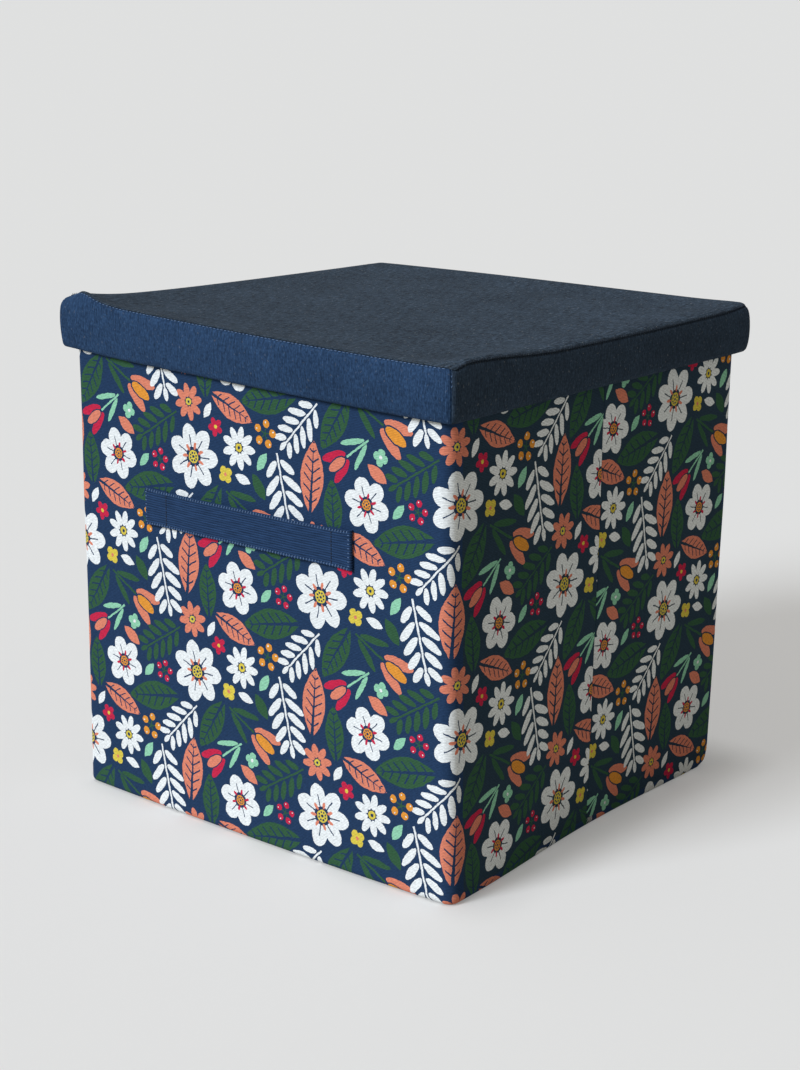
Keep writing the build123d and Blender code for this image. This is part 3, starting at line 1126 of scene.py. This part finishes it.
def rimOutline(side, s, inset):
    out, run = [Vector((*way, 0)) for way in rimSides[side]]
    reach, half, corner = lidHalfY if side in frontBack else lidHalfX, rimHalf(side), lidCap["corner"]
    if abs(s) <= half:
        return out * (reach - inset) + run * s
    angle = (abs(s) - half) / corner
    centre = out * (reach - corner) + run * math.copysign(half, s)
    turned = out * math.cos(angle) + run * math.copysign(math.sin(angle), s)
    return centre + turned * max(corner - inset, rimCloth["leastRadius"])


def rimStations(side):
    half = rimHalf(side)
    ends = runStations(half, half + lidCap["corner"] * math.pi / 4, rimCloth["cornerColumns"])[1:]
    return [-s for s in reversed(ends)] + runStations(-half, half, round(2 * half / rimCloth["step"])) + ends


def seamTop(side, s):
    angle = clamp((abs(s) - rimHalf(side)) / lidCap["corner"], 0, math.pi / 4)
    share = math.sin(angle) ** 2
    return lidTop - seamDrop(share if side in frontBack else 1 - share)


def rimInset(z):
    share = clamp((z - rimFoot) / (rimTop - rimFoot))
    tuck = rimCloth["seamTuck"] * clamp((share - 1) / rimCloth["tuckShare"] + 1) ** 2
    return tuck - lidSlump["rimBulge"] * math.sin(math.pi * share)


def rimPath():
    radius = rimThick / 2
    path = [(rimInset(z), z) for z in runStations(rimTop, rimFoot + radius, rimCloth["rows"])]
    for down, inset, run in arcSteps(radius, math.pi, rimCloth["foldRows"]):
        path.append((inset, rimFoot + radius - down))
    return path + [(rimThick, z) for z in runStations(rimFoot + radius, rimTop, rimCloth["rows"])[1:]]


def onRim(side, s, inset, z):
    p = rimOutline(side, s, inset)
    return softLid((p.x, p.y, z))


def makeRim(side):
    stations, path = rimStations(side), rimPath()
    run, end = runLengths(path), stations[-1]
    lowLevel = rimFoot + rimThick / 2

    def place(i, j):
        s, (inset, z) = stations[i], path[j]
        if j <= rimCloth["rows"]:  # outer face reaches up to the lid's seam
            inset += rimCloth["endTuck"] * clamp(1 - (end - abs(s)) / rimCloth["endReach"]) ** 2
            z += (seamTop(side, s) - rimTop) * (z - lowLevel) / (rimTop - lowLevel)
        return onRim(side, s, inset, z)

    bm = gridSheet(len(stations), len(path), place, lambda i, j: (run[j], stations[i]))
    bmesh.ops.reverse_faces(bm, faces=bm.faces)
    # the side rims take the shaded copy of the navy canvas: painted shade
    material = navyCanvas if side in frontBack else navyPaintedShade
    clothPiece("lid_rim_" + side, bm, [material], rimCloth["thick"], "lid", "navy_canvas",
               "rim_cloth_" + side, (2 * end, run[-1]), "folded", rests_on=["rim_board_" + side])


def makeLidCards():
    inset, play = lidCard["inset"], rimCloth["thick"] + lidCard["rimPlay"]
    low = (-lidHalfX + inset, -lidHalfY + inset, rimTop + lidCard["under"])
    high = (lidHalfX - inset, lidHalfY - inset, lidTop - lidCard["top"])
    cardSlab("lid_card", low, high, lidCard["cuts"], aboveWalls, "lid", "lid_board")
    for side in rimSides:
        low = (-rimHalf(side), play, rimFoot + rimThick / 2)
        high = (rimHalf(side), rimThick - play, rimTop - lidCard["rimTop"])
        cardSlab("rim_card_" + side, low, high, lidCard["cuts"], lambda p: onRim(side, *p), "lid",
                 "rim_board_" + side)


def makeLidLining():
    half, inset = Vector(lidLiningBox[1]), lidLining["inset"]
    bm = traySheet(half.x - inset, half.y - inset, lidLining["corner"], lidLining["edge"], lidLining["skirt"],
                   lidLining["counts"], lambda a, b, drop: aboveWalls((-a, b, lidLiningBox[0][2] + drop)))
    clothPiece("lid_lining_panel", bm, [liningFelt], lidLining["thick"], "lid", "lining_cloth", "lid_lining",
               (2 * half.x, 2 * half.y), rests_on=["lid_board"])


# webbing handles with folded ends, overcast edges and a stitched line near each end
strap = {
    "thick": 1.5 * mm, "tab": 20 * mm, "tuckBack": 2 * mm, "rise": 26 * mm, "gap": 2.8 * mm, "rows": 12,
    "sewnLeft": 19.5 * mm, "sewnRight": 14.5 * mm, "shift": -2.5 * mm, "spread": 0.8 * mm,
    "spreadReach": 18 * mm, "lean": 0.4 * mm, "layer": 0.1 * mm,
    "endColumns": 6, "foldColumns": 6, "tuckColumns": 5, "middleColumns": 44,
}
strapHalf, strapLow, strapHigh = (strapBox[1][0] - strapBox[0][0]) / 2, strapBox[0][2], strapBox[1][2]
strapFoot = strapHalf - strap["tab"]
strapUnder = strap["thick"] / 2 + strap["layer"]  # middle of the lower layer
strapUpper = strapUnder + strap["thick"] + strap["layer"]


def strapOut(s):
    middle = strap["gap"] + strap["thick"] / 2
    return strapUpper + (middle - strapUpper) * softStep((strapFoot - abs(s)) / strap["rise"])


def onStrap(wall, s, out, z):
    nearEnd = clamp(1 - (strapHalf - abs(s)) / strap["spreadReach"]) ** 2
    z += strap["spread"] * nearEnd * (2 * z - strapLow - strapHigh) / (strapHigh - strapLow)
    z += strap["lean"] * s / strapHalf
    return softWall(wallPoint(wall, walls[wall][2] / 2 + strap["shift"] + s, -out, z))


def strapStations():
    foldRadius = (strapUpper - strapUnder) / 2
    end = strapHalf - foldRadius - strap["thick"] / 2
    side = [(s, strapUpper) for s in runStations(strapFoot, end, strap["endColumns"])]
    for along, under, run in arcSteps(foldRadius, math.pi, strap["foldColumns"]):
        side.append((end + along, strapUpper - under))
    tuckEnd = strapFoot + strap["tuckBack"]
    side += [(s, strapUnder) for s in runStations(end, tuckEnd, strap["tuckColumns"])[1:]]
    middle = [(s, strapOut(s)) for s in runStations(-strapFoot, strapFoot, strap["middleColumns"])]
    return [(-s, out) for s, out in reversed(side)] + middle[1:-1] + side


def makeStrap(wall):
    stations, rows = strapStations(), strap["rows"]
    run = runLengths(stations)
    wide = strapHigh - strapLow

    def place(i, j):
        return onStrap(wall, *stations[i], strapLow + wide * j / rows)

    bm = gridSheet(len(stations), rows + 1, place, lambda i, j: (run[i], wide * j / rows))
    clothPiece("strap_" + wall, bm, [navyWebbing], strap["thick"], walls[wall][4], "navy_webbing",
               "handle_" + wall, (run[-1], wide), "folded", 0.0)


# sewing thread: each stitch is a small bead drawn out along the thread
stitchBead = {"around": 6, "along": 4, "flatness": 0.8}
# pitch, length and width of each seam's stitches
stitches = {
    "lidTop": (3.0 * mm, 2.0 * mm, 0.5 * mm),
    "lidOver": (2.3 * mm, 3.2 * mm, 0.5 * mm),
    "lidCorner": (2.5 * mm, 1.8 * mm, 0.5 * mm),
    "strapEdge": (2.2 * mm, 1.9 * mm, 0.7 * mm),
    "strapCross": (2.6 * mm, 2.3 * mm, 0.75 * mm),
    "strapEnd": (2.6 * mm, 1.7 * mm, 0.6 * mm),
    "hem": (3.6 * mm, 2.6 * mm, 0.6 * mm),
}
seams = {
    "margin": 5 * mm, "lidDrop": 0.7 * mm, "hemDrop": 15 * mm, "strapMargin": 2.5 * mm,
    "edgeInset": 0.8 * mm, "endInset": 1.6 * mm, "endSunk": 0.1 * mm, "edgeVary": 0.4, "lidVary": 0.35,
    "slant": 0.3, "varyScale": 900, "varyAcross": 90,
    "cornerTop": 1.5 * mm, "cornerRun": 7.5 * mm, "cornerInset": 0.3 * mm,
}
upward = Vector((0, 0, 1))


def seamStations(low, high, margin, pitch):
    return runStations(low + margin, high - margin, round((high - low - 2 * margin) / pitch))


def sewRow(name, row, material, body):
    bm = bmesh.new()
    for centre, along, out, length, width in row:
        along = along.normalized()
        out = (out - along * out.dot(along)).normalized()
        high = width * stitchBead["flatness"]
        turn = Matrix((out.cross(along) * width / 2, out * high / 2, along * length / 2)).transposed()
        bmesh.ops.create_uvsphere(bm, u_segments=stitchBead["around"], v_segments=stitchBead["along"],
                                  radius=1, matrix=Matrix.Translation(centre) @ turn.to_4x4())
    settle(finishPiece(name, bm, [material]), body)


def sewStrap(wall):
    outward, run = wallDirection(wall, 0, -1), wallDirection(wall, 1, 0)
    margin, body = seams["strapMargin"], walls[wall][4]
    edges, lines = [], []

    def spot(s, z, sunk=0.0):
        return onStrap(wall, s, strapOut(s) + strap["thick"] / 2 - sunk, z)

    pitch, length, width = stitches["strapEdge"]
    for s in seamStations(-strapHalf, strapHalf, margin, pitch):
        for z in (strapLow + seams["edgeInset"], strapHigh - seams["edgeInset"]):
            place = Vector((s * seams["varyScale"], z * seams["varyAcross"], 1))
            vary = 1 + seams["edgeVary"] * noise.noise(place)
            edges.append((spot(s, z), upward + run * seams["slant"], outward, length * vary, width))
    for z in seamStations(strapLow, strapHigh, margin, stitches["strapCross"][0]):
        for s in (-strapHalf + strap["sewnLeft"], strapHalf - strap["sewnRight"]):
            lines.append((spot(s, z), upward, outward, *stitches["strapCross"][1:]))
        for s in (-strapHalf + seams["endInset"], strapHalf - seams["endInset"]):
            edges.append((spot(s, z, seams["endSunk"]), run, outward, *stitches["strapEnd"][1:]))
    sewRow("strap_edge_stitches_" + wall, edges, paleThread, body)
    sewRow("strap_cross_stitches_" + wall, lines, darkThread, body)


def sewLid(side):
    end = rimStations(side)[-1]
    onFront = side in frontBack
    pitch, length, width = stitches["lidTop" if onFront else "lidOver"]

    def outward(s):
        return rimOutline(side, s, -1) - rimOutline(side, s, 0)

    row = []
    for s in seamStations(-end, end, seams["margin"], pitch):
        z = seamTop(side, s) - (seams["lidDrop"] if onFront else 0)
        spot = onRim(side, s, 0, z)
        along = onRim(side, s + 1 * mm, 0, z) - spot if onFront else upward
        vary = 1 + seams["lidVary"] * noise.noise(Vector((s * seams["varyScale"], len(side), 0)))
        row.append((spot, along, outward(s), length * vary, width))
    sewRow("lid_edge_stitches_" + side, row, paleThread if onFront else darkThread, "lid")
    pitch, length, width = stitches["lidCorner"]
    top = seamTop(side, end) - seams["cornerTop"]
    row = []
    for z in runStations(top, top - seams["cornerRun"], round(seams["cornerRun"] / pitch)):
        spot = onRim(side, end, rimInset(z) + seams["cornerInset"], z)
        row.append((spot, Vector((seams["slant"], 0, 1)), outward(end), length, width))
    sewRow("lid_corner_stitches_" + side, row, paleThread, "lid")


def sewHem(name):
    length, crease, body = walls[name][2:]
    inward, run = wallDirection(name, 0, 1), wallDirection(name, 1, 0)
    row = []
    for s in seamStations(0, length, seams["margin"], stitches["hem"][0]):
        spot = softWall(wallPoint(name, s, hemInner, wallTop - seams["hemDrop"]))
        row.append((spot, run, inward, *stitches["hem"][1:]))
    sewRow("hem_stitches_" + name, row, paleThread, body)


# stage, light and camera
studio = {
    "paper": ink(238, 238, 238),
    "plain": ink(217, 217, 217),  # plain part of the floor's look
    "backdrop": ink(223, 223, 222),
    "bounce": (0.48, 0.465, 0.42, 1),  # floor as the object sees it
    "paperShare": 0.3,  # part of the floor's look that is plain paper, so that its shadow stays pale
    "size": 120,
}
lamps = {  # strength, width in degrees, where it comes from, colour
    "key": (2.64, 22, (-0.224, -0.8365, 0.5), (0.95, 1.0, 1.05)),
    "overhead": (0.82, 9, (-0.036, -0.045, 1.0), (1.0, 1.0, 1.0)),
}
sky = {"Strength": 0.23, "Color": (1.0, 0.95, 0.84, 1)}
lens = {
    "eye": (0.83588, -1.009325, 0.521291), "azimuth": 39.899, "elevation": 15.159, "focalPixels": 2061.8,
    "imageHeight": 1070, "sensor": 36, "near": 0.01, "far": 500,
}


def makeCamera():
    az, el = math.radians(lens["azimuth"]), math.radians(lens["elevation"])
    back = Vector((math.sin(az) * math.cos(el), -math.cos(az) * math.cos(el), math.sin(el)))
    camera = bpy.data.objects.new("camera", bpy.data.cameras.new("camera"))
    camera.location = lens["eye"]
    camera.rotation_euler = (-back).to_track_quat("-Z", "Y").to_euler()
    camera.data.sensor_width = lens["sensor"]
    camera.data.lens = lens["focalPixels"] * lens["sensor"] / lens["imageHeight"]
    camera.data.clip_start = lens["near"]
    camera.data.clip_end = lens["far"]
    scene.collection.objects.link(camera)
    scene.camera = camera


# 1 where the background is seen, straight or in a shiny or clear surface
def plainSight(tree):
    path = tree.nodes.new("ShaderNodeLightPath").outputs
    seen = [Wire(path[name]) for name in ("Is Camera Ray", "Is Glossy Ray", "Is Transmission Ray")]
    return seen[0] | seen[1] | seen[2]


def makeStage():
    material, tree = newMaterial("studio paper", 1.0)
    shader = tree.nodes["Principled BSDF"]
    feedAll(shader.inputs, {"Base Color": studio["paper"], "Specular IOR Level": 0.0})
    glow = addNode(tree, "Emission", {"Color": studio["plain"]})[0]
    bounce = addNode(tree, "BsdfDiffuse", {"Color": studio["bounce"]})[0]
    seen = mixShader(studio["paperShare"], Wire(shader.outputs[0]), glow)
    feed(tree.nodes["Material Output"].inputs["Surface"], mixShader(plainSight(tree), bounce, seen))
    bm = bmesh.new()
    bmesh.ops.create_grid(bm, x_segments=1, y_segments=1, size=studio["size"])
    finishPiece("studio_floor", bm, [material], smooth=False)


def makeLights():
    for name, (strength, width, source, colour) in lamps.items():
        lamp = bpy.data.objects.new(name, bpy.data.lights.new(name, "SUN"))
        lamp.data.energy = strength
        lamp.data.angle = math.radians(width)
        lamp.data.color = colour
        lamp.rotation_euler = (-Vector(source)).to_track_quat("-Z", "Y").to_euler()
        scene.collection.objects.link(lamp)
    scene.world = bpy.data.worlds.new("studio")
    scene.world.use_nodes = True
    tree = scene.world.node_tree
    glow = tree.nodes["Background"]
    feedAll(glow.inputs, sky)
    backdrop = addNode(tree, "Background", {"Color": studio["backdrop"]})[0]
    whole = mixShader(plainSight(tree), Wire(glow.outputs[0]), backdrop)
    feed(tree.nodes["World Output"].inputs["Surface"], whole)
    scene.view_settings.view_transform = "Standard"


for wallName in walls:
    makeCover(wallName)
    makeLining(wallName)
    makeWallCard(wallName)
makeCorners()
print("walls made")
makeFloor()
makeInsert()
makeLidTop()
for rimSide in rimSides:
    makeRim(rimSide)
makeLidCards()
makeLidLining()
print("lid made")
for strapWall in frontBack:
    makeStrap(strapWall)
    sewStrap(strapWall)
for rimSide in rimSides:
    sewLid(rimSide)
for wallName in walls:
    sewHem(wallName)
print("straps and stitches made")
makeCamera()
makeStage()
makeLights()
print("stage, light and camera set")
